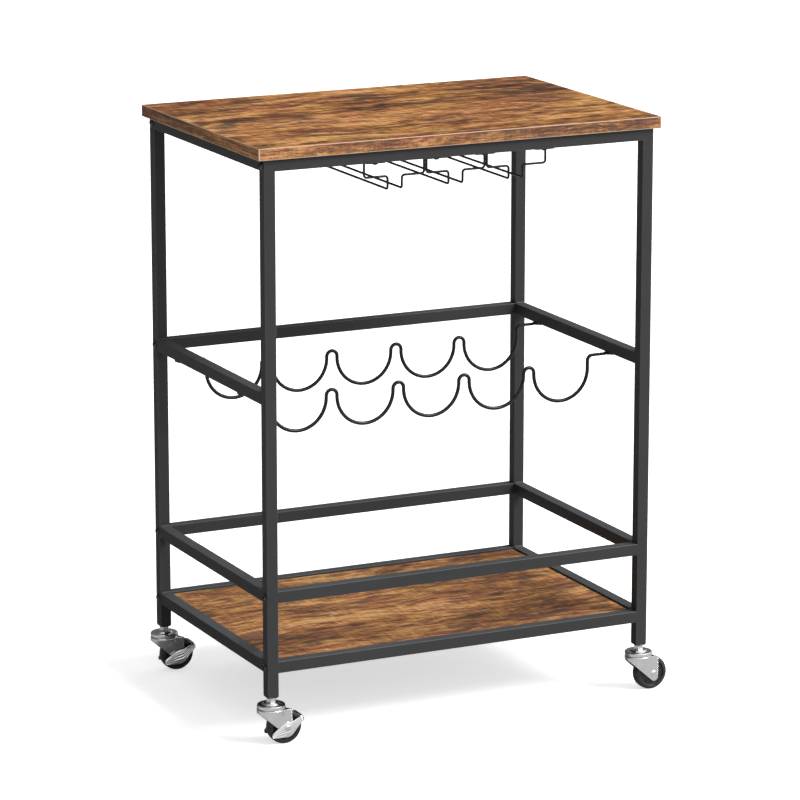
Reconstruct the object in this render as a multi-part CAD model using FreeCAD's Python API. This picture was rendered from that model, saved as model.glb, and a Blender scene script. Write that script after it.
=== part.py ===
"""Bar cart on four casters: two welded end frames of square tube joined by bolted long rails,
a tabletop and a bottom shelf, a wavy wire wine rack and a hanging wire rack for stemware.

Frame of the part: +X along the length, -Y the front, +Z up. The origin is on the floor, under
the middle of the whole cart's box. Sizes are in millimetres.
"""
import FreeCAD, Part
import math
import os

V = FreeCAD.Vector
X, Y, Z = V(1, 0, 0), V(0, 1, 0), V(0, 0, 1)

# ---- driving sizes: boards and frame -------------------------------------------------------
top_length = 597.0          # tabletop, along X
top_depth = 399.0           # tabletop, along Y
top_thickness = 16.0
top_overhang_ends = 9.5     # tabletop past the frame at the left and right ends
top_overhang_front = 5.0    # and at the front and back
edge_ease = 0.8             # eased edges of the boards

tube = 16.0                 # square tube of legs and rails
tube_wall = 1.2
tube_corner = 0.8           # outer corner radius of the tube
leg_foot = 30.5             # leg below the shelf rails
gap_guard_shelf = 81.3      # clear height from the shelf rails to the guard rails
gap_mid_guard = 254.0       # from the guard rails to the mid rails
gap_top_mid = 297.2         # from the mid rails to the top rails

shelf_thickness = 12.0
shelf_clearance = 1.0       # shelf board to the rails, all round
tab_sheet = 1.5             # shelf tabs
tab_width = 20.0
tab_reach = 18.0
tab_inset = 120.0           # outer tabs of the long rails from the ends of the rails

# ---- driving sizes: racks ------------------------------------------------------------------
wave_wire = 5.0
cradles = 5
cradle_end_room = 31.0      # upright of the wire to the inner face of the leg
cradle_depth = 52.0         # peak to bottom of the wave, on the wire's centre line
peak_radius = 8.0           # wire centre line over a peak
wave_drop = 62.0            # bottom of the wave below the mid rails, on the centre line
wave_front_inset = 78.5     # wires to the inner faces of the front and back legs
wave_back_inset = 63.5
wave_tab_width = 13.0
wave_tab_sheet = 2.5

stem_wire = 3.2
stem_slots = 3
stem_slot_pitch = 90.0
stem_slot_gap = 21.0        # between the two wires of a slot, centre to centre
stem_arm_drop = 23.0        # arms below the top rails
stem_lip = 17.5             # running wires below the arms
stem_post_inset = 14.5      # posts inside the middle of the top rails
stem_post_gap = 0.4         # between the two posts that share a tab
stem_bend = 4.0             # bend radius on the centre line
stem_tab_sheet = 1.6
stem_tab_width = 30.0
stem_tab_margin = 4.0       # tab past the posts and the rail's middle

# ---- driving sizes: fasteners --------------------------------------------------------------
bolt_d = 6.0
bolt_hole_clearance = 0.6
bolt_head_d = 11.0
bolt_head_h = 3.0
plug_length = 12.0          # threaded plug in the end of a long rail
screw_d = 4.0
screw_hole_clearance = 0.4
screw_head_d = 8.0
screw_head_h = 2.4
screw_bite = 11.0           # screw in the board
short_screw_reach = 4.0     # screw tip above the wall that it is driven into

# ---- driving sizes: casters ----------------------------------------------------------------
wheel_d = 48.0
wheel_width = 16.0
wheel_edge = 4.5            # rounding of the tread's edges
wheel_hub_d = 17.0
wheel_recess = 2.6          # web sunk below the wheel's faces
wheel_rim = 6.0
trail = 18.0                # wheel axle behind the swivel axis
axle_d = 6.0
axle_head_d = 9.0
axle_head_h = 1.5
running_clearance = 0.05    # radial, of wheel, lever and kingpin
side_gap = 0.3              # between parts that turn face to face
fork_sheet = 1.8
fork_gap = 1.7              # wheel to each side plate of the fork
crown_gap = 2.0             # wheel to the crown of the fork
crown_d = 37.0
fork_nose = 19.8            # front of the fork ahead of the swivel axis
fork_tail = 7.5             # back of the fork behind the axle
fork_foot = 5.8             # radius of the fork's lower ends
fork_foot_drop = 5.0        # centre of that radius below the axle
fork_front_drop = 4.0       # height of the fork's folded front under the crown
ball_d = 3.0
ball_circle_d = 25.0
balls = 14
cup_d = 38.5
cup_sheet = 1.6
cup_shoulder = 23.0         # diameter of the raised middle of the cup
cup_rise = 2.2              # its height
collar_af = 12.0            # hex collar of the stem, across flats
collar_h = 6.3
kingpin_d = 8.0
kingpin_head_d = 13.0
kingpin_head_h = 2.0
stem_length = 24.0          # threaded stem above the collar
insert_cap = 4.5            # plastic cap under the leg
insert_length = 28.0        # plastic plug inside the leg
insert_fit = 0.1            # plug to the tube's inner faces

lever_sheet = 1.3
pedal_gap = 0.8             # pedal of the lever to the wheel's tread
pedal_width = 9.0           # pedal along the tread
pedal_lean = 27.0           # middle of the pedal above the level of the axle, in degrees

# ---- places that follow from them ----------------------------------------------------------
frame_x = top_length / 2 - top_overhang_ends
frame_y = top_depth / 2 - top_overhang_front
leg_x = frame_x - tube / 2
leg_y = frame_y - tube / 2
inner_x = frame_x - tube
inner_y = frame_y - tube

axle_z = wheel_d / 2
crown_z = wheel_d + crown_gap
crown_top = crown_z + fork_sheet
ball_z = crown_top + side_gap + ball_d / 2
cup_z = ball_z + ball_d / 2 + side_gap
collar_z = cup_z + cup_sheet + cup_rise
cap_z = collar_z + collar_h
leg_z = cap_z + insert_cap
shelf_rail_z = leg_z + leg_foot
guard_rail_z = shelf_rail_z + tube + gap_guard_shelf
mid_rail_z = guard_rail_z + tube + gap_mid_guard
top_rail_z = mid_rail_z + tube + gap_top_mid
top_z = top_rail_z + tube
plate_y = wheel_width / 2 + fork_gap
lever_y = plate_y + fork_sheet + side_gap

wave_front_y = wave_front_inset - inner_y
wave_back_y = inner_y - wave_back_inset
stem_post_y = leg_y - stem_post_inset
stem_post_pair = stem_wire + stem_post_gap

# The row of cradles fills the room between the legs. A cradle is an arc that meets the next one
# in a peak, so its radius is (half_pitch ** 2 + cradle_depth ** 2) / (2 * cradle_depth) less the
# peak's, and the half pitch is the root of a quadratic.
wave_rise_x = inner_x - cradle_end_room
steps = cradles - 1
row_room = 2 * (wave_rise_x + peak_radius) / cradle_depth - 1
half_pitch = cradle_depth * (math.sqrt(steps ** 2 + row_room) - steps)
cradle_r = (half_pitch ** 2 + cradle_depth ** 2) / (2 * cradle_depth) - peak_radius

# The wheels trail to the right at rest and stand out past the tabletop at that end.
reach_left = max(top_length / 2, leg_x + fork_nose)
reach_right = max(top_length / 2, leg_x + trail + wheel_d / 2)
shift_x = (reach_left - reach_right) / 2

LEGS = {"front_left": (-1, -1), "front_right": (1, -1), "back_left": (-1, 1), "back_right": (1, 1)}
BRAKED = ("front_left", "back_left")
LEVELS = {"top": top_rail_z, "mid": mid_rail_z, "guard": guard_rail_z, "shelf": shelf_rail_z}
LONG_RAILS = [("top", -1), ("top", 1), ("mid", 1), ("guard", -1), ("guard", 1), ("shelf", -1),
              ("shelf", 1)]
FACE = {-1: "front", 1: "back"}
END = {-1: "left", 1: "right"}


# ---- helpers -------------------------------------------------------------------------------
def box(x0, x1, y0, y1, z0, z1):
    """Solid between three pairs of planes."""
    return Part.makeBox(x1 - x0, y1 - y0, z1 - z0, V(x0, y0, z0))


def rod(diameter, start, end):
    """Round bar from one point to another."""
    along = end - start
    return Part.makeCylinder(diameter / 2, along.Length, start, along)


def rounded(solid, radius, along):
    """The solid with every edge that runs along an axis rounded."""
    edges = [e for e in solid.Edges if abs(abs(e.tangentAt(e.FirstParameter).dot(along)) - 1) < 1e-6]
    return solid.makeFillet(radius, edges)


def turned(profile):
    """Solid of revolution about Z from a closed outline of (radius, height) points."""
    points = [V(r, 0, z) for r, z in profile]
    return Part.Face(Part.makePolygon(points + points[:1])).revolve(V(0, 0, 0), Z, 360)


def drilled(solid, holes):
    """The solid with each round hole (diameter, start, end) cut out of it."""
    for diameter, start, end in holes:
        solid = solid.cut(rod(diameter, start, end))
    return solid


def fused(solids):
    """One solid from several that touch or overlap."""
    whole = solids[0].multiFuse(solids[1:]).removeSplitter()
    return whole.Solids[0] if len(whole.Solids) == 1 else whole


def bent_rod(points, radius, diameter):
    """Wire through the points, with each corner bent to the radius."""
    edges = []
    start = points[0]
    for before, corner, after in zip(points, points[1:], points[2:]):
        u, v = (before - corner).normalize(), (after - corner).normalize()
        half = u.getAngle(v) / 2
        back = radius / math.tan(half)
        middle = (u + v).normalize() * (radius / math.sin(half) - radius)
        edges.append(Part.makeLine(start, corner + u * back))
        edges.append(Part.Arc(corner + u * back, corner + middle, corner + v * back).toShape())
        start = corner + v * back
    edges.append(Part.makeLine(start, points[-1]))
    return swept(edges, diameter)


def swept(edges, diameter):
    """Round wire of the diameter along a chain of lines and arcs."""
    first = edges[0]
    start = first.valueAt(first.FirstParameter)
    section = Part.Wire(Part.makeCircle(diameter / 2, start, first.tangentAt(first.FirstParameter)))
    return Part.Wire(edges).makePipeShell([section], True, True)


def save(shape, name):
    """Write one named piece, moved so that the origin is under the middle of the cart."""
    shape = shape.copy()
    shape.translate(V(shift_x, 0, 0))
    shape.exportStep("parts/" + name + ".step")


# ---- tubes of the frame --------------------------------------------------------------------
def square_tube(length):
    """Hollow square tube along +Z from the origin, centred on the axis."""
    half = tube / 2
    bore = half - tube_wall
    outside = rounded(box(-half, half, -half, half, 0, length), tube_corner, Z)
    inside = rounded(box(-bore, bore, -bore, bore, 0, length), max(tube_corner - tube_wall, 0.2), Z)
    return outside.cut(inside)


def rails_at(sx, sy):
    """Heights of the long rails that meet one leg."""
    return [LEVELS[level] + tube / 2 for level, face in LONG_RAILS if face == sy]


def leg(sx, sy):
    """Leg with a bolt hole through both walls at each long rail."""
    solid = square_tube(top_z - leg_z)
    solid.translate(V(sx * leg_x, sy * leg_y, leg_z))
    hole = bolt_d + bolt_hole_clearance
    x0, x1 = sorted((sx * inner_x, sx * frame_x))
    return drilled(solid, [(hole, V(x0 - 1, sy * leg_y, z), V(x1 + 1, sy * leg_y, z))
                           for z in rails_at(sx, sy)])


def side_rail(level, sx):
    """Rail along Y between the two legs of one end frame, drilled for the screws that cross it."""
    solid = square_tube(2 * inner_y)
    solid.rotate(V(0, 0, 0), X, -90)
    solid.translate(V(sx * leg_x, -inner_y, LEVELS[level] + tube / 2))
    hole = screw_d + screw_hole_clearance
    z = LEVELS[level]
    if level == "top":
        return drilled(solid, [(hole, V(sx * leg_x, 0, z - 1), V(sx * leg_x, 0, z + tube + 1))])
    if level == "mid":
        return drilled(solid, [(screw_d, V(sx * leg_x, y, z - 1), V(sx * leg_x, y, z + tube / 2))
                               for y in (wave_front_y, wave_back_y)])
    return solid


def long_rail(level, sy):
    """Rail along X between the end frames, drilled for the stemware rack where it carries it."""
    solid = square_tube(2 * inner_x)
    solid.rotate(V(0, 0, 0), Y, 90)
    solid.translate(V(-inner_x, sy * leg_y, LEVELS[level] + tube / 2))
    if level != "top":
        return solid
    hole = screw_d + screw_hole_clearance
    return drilled(solid, [(hole, V(x, sy * leg_y, top_rail_z - 1), V(x, sy * leg_y, top_z + 1))
                           for x in stem_screw_xs()])


def end_plug(sx, sy, z):
    """Threaded plug just inside the end of a long rail."""
    half = tube / 2 - tube_wall
    x0, x1 = sorted((sx * (inner_x - plug_length), sx * inner_x))
    solid = box(x0, x1, sy * leg_y - half, sy * leg_y + half, z - half, z + half)
    solid = rounded(solid, max(tube_corner - tube_wall, 0.2), X)
    return drilled(solid, [(bolt_d, V(x0 - 1, sy * leg_y, z), V(x1 + 1, sy * leg_y, z))])


def domed_head(diameter, height):
    """Low dome on the plane z = 0: a slice of a sphere on a short rim."""
    rim = height / 4
    dome = height - rim
    sphere_r = (diameter ** 2 / 4 + dome ** 2) / (2 * dome)
    sphere = Part.makeSphere(sphere_r, V(0, 0, height - sphere_r))
    return sphere.common(Part.makeCylinder(diameter / 2, height))


def frame_bolt(sx, sy, z):
    """Dome-head bolt through a leg into the plug of a rail, with a hex socket in its head."""
    socket_af = bolt_d * 2 / 3
    head = domed_head(bolt_head_d, bolt_head_h).cut(hexagon(socket_af, bolt_head_h * 0.4, bolt_head_h))
    solid = fused([head, rod(bolt_d, V(0, 0, -tube - plug_length + 1), V(0, 0, 0.1))])
    solid.rotate(V(0, 0, 0), Y, 90 * sx)
    solid.translate(V(sx * frame_x, sy * leg_y, z))
    return solid


def hexagon(across_flats, z0, z1):
    """Upright hexagonal prism on the Z axis."""
    corner = across_flats / math.sqrt(3)
    ring = [V(corner * math.cos(k * math.pi / 3), corner * math.sin(k * math.pi / 3), z0) for k in range(7)]
    return Part.Face(Part.makePolygon(ring)).extrude(V(0, 0, z1 - z0))


# ---- boards and their fixings --------------------------------------------------------------
def board(half_x, half_y, z0, z1):
    """Flat board with eased edges."""
    solid = box(-half_x, half_x, -half_y, half_y, z0, z1)
    return solid.makeFillet(edge_ease, solid.Edges)


def tabletop_screw_places():
    """Screws of the tabletop: one in each side rail, and those of the stemware rack."""
    sides = [(sx * leg_x, 0) for sx in (-1, 1)]
    return sides, [(x, sy * leg_y) for sy in (-1, 1) for x in stem_screw_xs()]


def tabletop():
    """Tabletop with a blind pilot hole for each screw."""
    solid = board(top_length / 2, top_depth / 2, top_z, top_z + top_thickness)
    sides, fronts = tabletop_screw_places()
    return drilled(solid, [(screw_d, V(x, y, top_z - 1), V(x, y, top_z + screw_bite))
                           for x, y in sides + fronts])


def tab_places():
    """Shelf tabs as (x, y, direction in x, direction in y) on the inner faces of the rails."""
    xs = (tab_inset - inner_x, 0, inner_x - tab_inset)
    places = [(x, sy * inner_y, 0, -sy) for sy in (-1, 1) for x in xs]
    return places + [(sx * inner_x, 0, -sx, 0) for sx in (-1, 1)]


def tab_hole(x, y, dx, dy):
    """Middle of a tab's hole."""
    return x + dx * tab_reach * 0.6, y + dy * tab_reach * 0.6


def shelf_tab(x, y, dx, dy):
    """Flat tab welded to the inside of a shelf rail, level with its underside."""
    x0, x1 = sorted((x - abs(dy) * tab_width / 2, x + dx * tab_reach + abs(dy) * tab_width / 2))
    y0, y1 = sorted((y - abs(dx) * tab_width / 2, y + dy * tab_reach + abs(dx) * tab_width / 2))
    solid = box(x0, x1, y0, y1, shelf_rail_z, shelf_rail_z + tab_sheet)
    hx, hy = tab_hole(x, y, dx, dy)
    hole = screw_d + screw_hole_clearance
    return drilled(solid, [(hole, V(hx, hy, shelf_rail_z - 1), V(hx, hy, shelf_rail_z + tab_sheet + 1))])


def bottom_shelf():
    """Shelf board inside the ring of rails, on the tabs, with pilot holes."""
    z = shelf_rail_z + tab_sheet
    solid = board(inner_x - shelf_clearance, inner_y - shelf_clearance, z, z + shelf_thickness)
    bite = min(screw_bite, shelf_thickness - 2)
    return drilled(solid, [(screw_d, V(hx, hy, z - 1), V(hx, hy, z + bite))
                           for hx, hy in (tab_hole(*place) for place in tab_places())])


def screw(x, y, head_z, tip_z):
    """Pan-head screw pointing up, its head under the plane head_z, with a cross slot."""
    head = domed_head(screw_head_d, screw_head_h)
    slot = screw_head_d * 0.6
    for angle in (0, 90):
        bar = box(-slot / 2, slot / 2, -0.5, 0.5, screw_head_h * 0.5, screw_head_h)
        bar.rotate(V(0, 0, 0), Z, angle)
        head = head.cut(bar)
    head.rotate(V(0, 0, 0), X, 180)
    shank = Part.makeCylinder(screw_d / 2, tip_z - head_z - screw_d / 2 + 0.1, V(0, 0, -0.1))
    point = Part.makeCone(screw_d / 2, 0.4, screw_d / 2, V(0, 0, tip_z - head_z - screw_d / 2))
    solid = fused([head, shank, point])
    solid.translate(V(x, y, head_z))
    return solid


# ---- wine rack -----------------------------------------------------------------------------
def wave(y):
    """Wavy wire with a row of cradles, and a drilled flat tab under each mid side rail."""
    lean = 2 * math.atan(cradle_depth / half_pitch)
    low = mid_rail_z - wave_drop
    cradle_z = low + cradle_r
    peak_z = low + cradle_depth - peak_radius
    reach = steps * half_pitch
    end_z = mid_rail_z - wave_tab_sheet / 2
    rise_x = wave_rise_x

    def at(x, z):
        return V(x, y, z)

    def flank(x, side):
        return at(x + side * cradle_r * math.sin(lean), cradle_z - cradle_r * math.cos(lean))

    edges = [Part.makeLine(at(-leg_x, end_z), at(-rise_x - peak_radius, end_z))]
    turn = peak_radius * (1 - math.sqrt(0.5))
    edges.append(Part.Arc(at(-rise_x - peak_radius, end_z), at(-rise_x - turn, end_z - turn),
                          at(-rise_x, end_z - peak_radius)).toShape())
    edges.append(Part.makeLine(at(-rise_x, end_z - peak_radius), at(-rise_x, cradle_z)))
    for k in range(cradles):
        x = 2 * k * half_pitch - reach
        start = at(x - cradle_r, cradle_z) if k == 0 else flank(x, -1)
        end = at(x + cradle_r, cradle_z) if k == cradles - 1 else flank(x, 1)
        edges.append(Part.Arc(start, at(x, low), end).toShape())
        if k < cradles - 1:
            top = at(x + half_pitch, peak_z + peak_radius)
            edges.append(Part.Arc(end, top, flank(x + 2 * half_pitch, -1)).toShape())
    edges.append(Part.makeLine(at(rise_x, cradle_z), at(rise_x, end_z - peak_radius)))
    edges.append(Part.Arc(at(rise_x, end_z - peak_radius), at(rise_x + turn, end_z - turn),
                          at(rise_x + peak_radius, end_z)).toShape())
    edges.append(Part.makeLine(at(rise_x + peak_radius, end_z), at(leg_x, end_z)))
    wire = swept(edges, wave_wire)
    return fused([wire.common(slab_under_rails())] + [wave_tab(sx, y) for sx in (-1, 1)])


def slab_under_rails():
    """Space below the mid rails, less the ends of the wire where they are pressed flat."""
    whole = box(-frame_x, frame_x, -frame_y, frame_y, guard_rail_z, mid_rail_z)
    ends = [box(*sorted((sx * wave_tab_start(), sx * frame_x)), -frame_y, frame_y, guard_rail_z, mid_rail_z)
            for sx in (-1, 1)]
    return whole.cut(ends[0]).cut(ends[1])


def wave_tab_start():
    """Where the round wire goes over into its flat tab."""
    return inner_x - 3.0


def wave_tab(sx, y):
    """Flattened end of the wire, with its screw hole under the rail's middle."""
    x0, x1 = sorted((sx * wave_tab_start(), sx * (frame_x - 1.0)))
    half = wave_tab_width / 2
    solid = box(x0, x1, y - half, y + half, mid_rail_z - wave_tab_sheet, mid_rail_z)
    solid = rounded(solid, half * 0.6, Z)
    hole = screw_d + screw_hole_clearance
    return drilled(solid, [(hole, V(sx * leg_x, y, mid_rail_z - wave_tab_sheet - 1),
                            V(sx * leg_x, y, mid_rail_z + 1))])


# ---- stemware rack -------------------------------------------------------------------------
def stem_posts():
    """Post groups as (x of the group, its wires), a wire being (post x, running wire x)."""
    half = stem_slots * stem_slot_pitch / 2
    groups = []
    for k in range(stem_slots + 1):
        x = k * stem_slot_pitch - half
        reach = stem_slot_pitch / 2 - stem_slot_gap / 2
        sides = [s for s in (-1, 1) if 0 <= k + (s - 1) / 2 < stem_slots]
        pair = stem_post_pair / 2 if len(sides) == 2 else 0
        groups.append((x, [(x + s * pair, x + s * reach) for s in sides]))
    return groups


def stem_tab_x(k):
    """Left and right edge of a tab, which points from its posts to the middle of the cart."""
    x = stem_posts()[k][0]
    toward = 1 if x < 0 else -1
    near = x - toward * (stem_post_pair / 2 + stem_tab_margin)
    return sorted((near, near + toward * stem_tab_width))


def stem_screw_xs():
    """Screws of the stemware rack along a top rail, one in each tab."""
    return [sum(stem_tab_x(k)) / 2 for k in range(stem_slots + 1)]


def stem_rail(k):
    """One or two bent wires from front to back, welded to a tab under each top rail."""
    top = top_rail_z - stem_tab_sheet / 2
    arm = top_rail_z - stem_arm_drop
    low = arm - stem_lip
    solids = []
    for post_x, run_x in stem_posts()[k][1]:
        front = [(post_x, top), (post_x, arm), (run_x, arm), (run_x, low)]
        points = [V(x, -stem_post_y, z) for x, z in front]
        points += [V(x, stem_post_y, z) for x, z in reversed(front)]
        solids.append(bent_rod(points, stem_bend, stem_wire))
    x0, x1 = stem_tab_x(k)
    sx = stem_screw_xs()[k]
    for sy in (-1, 1):
        y0, y1 = sorted((sy * (stem_post_y - stem_tab_margin), sy * (leg_y + stem_tab_margin)))
        plate = rounded(box(x0, x1, y0, y1, top_rail_z - stem_tab_sheet, top_rail_z), stem_tab_margin, Z)
        hole = screw_d + screw_hole_clearance
        solids.append(drilled(plate, [(hole, V(sx, sy * leg_y, top_rail_z - stem_tab_sheet - 1),
                                       V(sx, sy * leg_y, top_rail_z + 1))]))
    return fused(solids)


# ---- casters: the swivel axis is the Z axis here -------------------------------------------
# Side plate of the brake lever, as shares of the wheel's radius from the axle: two arms, one to a
# heel low in front and one to the toe at the pedal, joined round the axle by a belly and a neck.
HEEL_LOW, HEEL_HIGH = (-0.82, -0.51), (-0.9, -0.26)
TOE_LOW, TOE_HIGH = (0.98, 0.36), (0.9, 0.62)
LEVER_BELLY, LEVER_NECK = 0.53, 0.27
BELLY_ARC = (-100, -62, -25)
NECK_ARC = (55, 90, 125)


def leg_insert():
    """Plastic plug in the foot of the leg, with a rounded cap and a bore for the stem."""
    half = tube / 2
    inner = half - tube_wall - insert_fit
    cap = rounded(box(-half, half, -half, half, cap_z, leg_z), tube_corner, Z)
    cap = cap.makeFillet(insert_cap * 0.75, [e for e in cap.Edges if e.BoundBox.ZMax < cap_z + 1e-3])
    plug = rounded(box(-inner, inner, -inner, inner, leg_z, leg_z + insert_length), tube_corner, Z)
    return drilled(fused([cap, plug]), [(kingpin_d, V(0, 0, cap_z - 1), V(0, 0, cap_z + stem_length + 1))])


def caster_stem():
    """Threaded stem, hex collar and kingpin with a riveted head, in one turned piece."""
    neck = kingpin_d / 2
    head_top = crown_z - side_gap
    pin = turned([(0, head_top - kingpin_head_h), (kingpin_head_d / 2 - 1, head_top - kingpin_head_h),
                  (kingpin_head_d / 2, head_top - kingpin_head_h + 1), (kingpin_head_d / 2, head_top),
                  (neck, head_top), (neck, cap_z + stem_length - 1), (neck - 1, cap_z + stem_length),
                  (0, cap_z + stem_length)])
    return fused([pin, hexagon(collar_af, collar_z, cap_z)])


def swivel_cup():
    """Pressed cup over the bearing: raised middle, sloping shoulder and a rim turned down."""
    r, shoulder = cup_d / 2, cup_shoulder / 2
    hole = kingpin_d / 2
    rise = cup_z + cup_rise
    rim_z = crown_top + 2 * side_gap
    inner = r - cup_sheet
    ease = cup_sheet * 0.6
    return turned([(hole, rise), (shoulder - cup_rise, rise), (shoulder, cup_z), (inner, cup_z),
                   (inner, rim_z), (r, rim_z), (r, cup_z + cup_sheet - ease),
                   (r - ease, cup_z + cup_sheet), (shoulder + cup_rise * 0.4, cup_z + cup_sheet),
                   (shoulder - cup_rise * 0.6, rise + cup_sheet), (hole, rise + cup_sheet)])


def bearing_balls():
    """Ring of balls between the cup and the crown of the fork."""
    r = ball_circle_d / 2
    turns = [2 * math.pi * k / balls for k in range(balls)]
    return [Part.makeSphere(ball_d / 2, V(r * math.cos(a), r * math.sin(a), ball_z)) for a in turns]


def fork_outline():
    """Side view of the fork: sloping front edge, round foot at the axle, upright back edge."""
    foot = V(trail + 0.3 * fork_foot, 0, axle_z - fork_foot_drop)
    front = V(-fork_nose - 1, 0, crown_z - fork_front_drop)
    back = V(trail + fork_tail, 0, crown_top)
    touch_front = tangent_point(front, foot, fork_foot, 1)
    touch_back = tangent_point(back, foot, fork_foot, -1)
    edges = [Part.makeLine(back, V(front.x, 0, crown_top)),
             Part.makeLine(V(front.x, 0, crown_top), front),
             Part.makeLine(front, touch_front),
             Part.Arc(touch_front, foot - Z * fork_foot, touch_back).toShape(),
             Part.makeLine(touch_back, back)]
    return Part.Face(Part.Wire(edges))


def tangent_point(outside, centre, radius, side):
    """Point where a line from an outside point touches a circle in the XZ plane."""
    to = outside - centre
    swing = side * math.acos(radius / to.Length)
    unit = to.normalize()
    turned_unit = V(unit.x * math.cos(swing) - unit.z * math.sin(swing), 0,
                    unit.x * math.sin(swing) + unit.z * math.cos(swing))
    return centre + turned_unit * radius


def fork_plan(grow, z0, z1):
    """Plan of the fork as a prism: straight sides, a rounded nose and an open back."""
    half = plate_y + grow
    nose_x = -fork_nose + fork_sheet - grow
    bend = half * 0.68
    rear = trail + fork_tail + 5
    edges = [Part.makeLine(V(rear, half, z0), V(nose_x + bend, half, z0)),
             Part.Arc(V(nose_x + bend, half, z0), V(nose_x, 0, z0), V(nose_x + bend, -half, z0)).toShape(),
             Part.makeLine(V(nose_x + bend, -half, z0), V(rear, -half, z0)),
             Part.makeLine(V(rear, -half, z0), V(rear, half, z0))]
    return Part.Face(Part.Wire(edges)).extrude(V(0, 0, z1 - z0))


def fork():
    """Stamped fork: round crown, two side plates that meet in a folded nose, axle and kingpin holes."""
    low = axle_z - fork_foot_drop - fork_foot - 1
    wall = fork_plan(fork_sheet, low, crown_top).cut(fork_plan(0, low - 1, crown_z))
    side = fork_outline().extrude(V(0, 4 * plate_y, 0))
    side.translate(V(0, -2 * plate_y, 0))
    shell = wall.common(side)
    crown = Part.makeCylinder(crown_d / 2, fork_sheet, V(0, 0, crown_z))
    body = fused([shell, crown])
    bore = kingpin_d + 2 * running_clearance
    reach = plate_y + fork_sheet + 1
    return drilled(body, [(bore, V(0, 0, crown_z - 1), V(0, 0, crown_top + 1)),
                          (axle_d, V(trail, -reach, axle_z), V(trail, reach, axle_z))])


def wheel():
    """Moulded wheel: rounded tread, recessed web on both sides and a bored hub."""
    r, half = wheel_d / 2, wheel_width / 2
    tyre = Part.makeCylinder(r, wheel_width, V(0, 0, -half))
    tyre = tyre.makeFillet(wheel_edge, [e for e in tyre.Edges if e.Curve.TypeId == "Part::GeomCircle"])
    hub_r = wheel_hub_d / 2
    for sign in (-1, 1):
        ring = Part.makeCylinder(r - wheel_rim, half).cut(Part.makeCylinder(hub_r, half))
        ring.translate(V(0, 0, half - wheel_recess if sign > 0 else -2 * half + wheel_recess))
        tyre = tyre.cut(ring)
    hub_half = plate_y - side_gap
    hub = Part.makeCylinder(hub_r - 1.5, 2 * hub_half, V(0, 0, -hub_half))
    body = fused([tyre, hub])
    bore = axle_d + 2 * running_clearance
    body = drilled(body, [(bore, V(0, 0, -hub_half - 1), V(0, 0, hub_half + 1))])
    body.rotate(V(0, 0, 0), X, 90)
    body.translate(V(trail, 0, axle_z))
    return body


def axle(outer_y):
    """Rivet axle with a domed head outside each side plate."""
    body = Part.makeCylinder(axle_d / 2, 2 * outer_y, V(0, 0, -outer_y))
    head = domed_head(axle_head_d, axle_head_h)
    other = head.copy()
    other.rotate(V(0, 0, 0), X, 180)
    head.translate(V(0, 0, outer_y))
    other.translate(V(0, 0, -outer_y))
    solid = fused([body, head, other])
    solid.rotate(V(0, 0, 0), X, 90)
    solid.translate(V(trail, 0, axle_z))
    return solid


def lever_side(r):
    """Outline of the lever's side plate for a wheel of this radius."""
    heel_low, heel_high, toe_low, toe_high = [V(x * r, 0, z * r) for x, z in
                                              (HEEL_LOW, HEEL_HIGH, TOE_LOW, TOE_HIGH)]
    belly = [on_circle(LEVER_BELLY * r, angle) for angle in BELLY_ARC]
    neck = [on_circle(LEVER_NECK * r, angle) for angle in NECK_ARC]
    edges = [Part.makeLine(heel_low, belly[0]),
             Part.Arc(*belly).toShape(),
             Part.makeLine(belly[2], toe_low),
             Part.makeLine(toe_low, toe_high),
             Part.makeLine(toe_high, neck[0]),
             Part.Arc(*neck).toShape(),
             Part.makeLine(neck[2], heel_high),
             Part.makeLine(heel_high, heel_low)]
    return Part.Face(Part.Wire(edges))


def on_circle(radius, degrees):
    """Point of a circle round the Y axis, by its angle above +X."""
    angle = math.radians(degrees)
    return V(radius * math.cos(angle), 0, radius * math.sin(angle))


def brake_lever():
    """Bent lever over the wheel: two side plates on the axle and a pedal across the tread."""
    r = wheel_d / 2
    cheek = lever_side(r).extrude(V(0, lever_sheet, 0))
    cheek = rounded(cheek, 2.0, Y)
    other = cheek.copy()
    cheek.translate(V(0, lever_y, 0))
    other.translate(V(0, -lever_y - lever_sheet, 0))
    half = lever_y + lever_sheet
    pedal = box(r + pedal_gap, r + pedal_gap + lever_sheet, -half, half, -pedal_width / 2, pedal_width / 2)
    pedal = rounded(pedal, lever_sheet * 0.4, Y)
    pedal.rotate(V(0, 0, 0), Y, -pedal_lean)
    solid = fused([cheek, other, pedal])
    solid.translate(V(trail, 0, axle_z))
    bore = axle_d + 2 * running_clearance
    return drilled(solid, [(bore, V(trail, -2 * half, axle_z), V(trail, 2 * half, axle_z))])


# ---- build ---------------------------------------------------------------------------------
os.makedirs("parts", exist_ok=True)

for corner, (sx, sy) in LEGS.items():
    save(leg(sx, sy), "leg_" + corner)
for level in LEVELS:
    for sx in (-1, 1):
        save(side_rail(level, sx), "side_rail_" + level + "_" + END[sx])
for level, sy in LONG_RAILS:
    save(long_rail(level, sy), "long_rail_" + level + "_" + FACE[sy])

joints = [(sx, sy, LEVELS[level] + tube / 2) for level, sy in LONG_RAILS for sx in (-1, 1)]
save(Part.makeCompound([frame_bolt(*place) for place in joints]), "frame_bolts")
save(Part.makeCompound([end_plug(*place) for place in joints]), "rail_end_plugs")

save(tabletop(), "tabletop")
save(bottom_shelf(), "bottom_shelf")
save(Part.makeCompound([shelf_tab(*place) for place in tab_places()]), "shelf_tabs")

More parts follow.
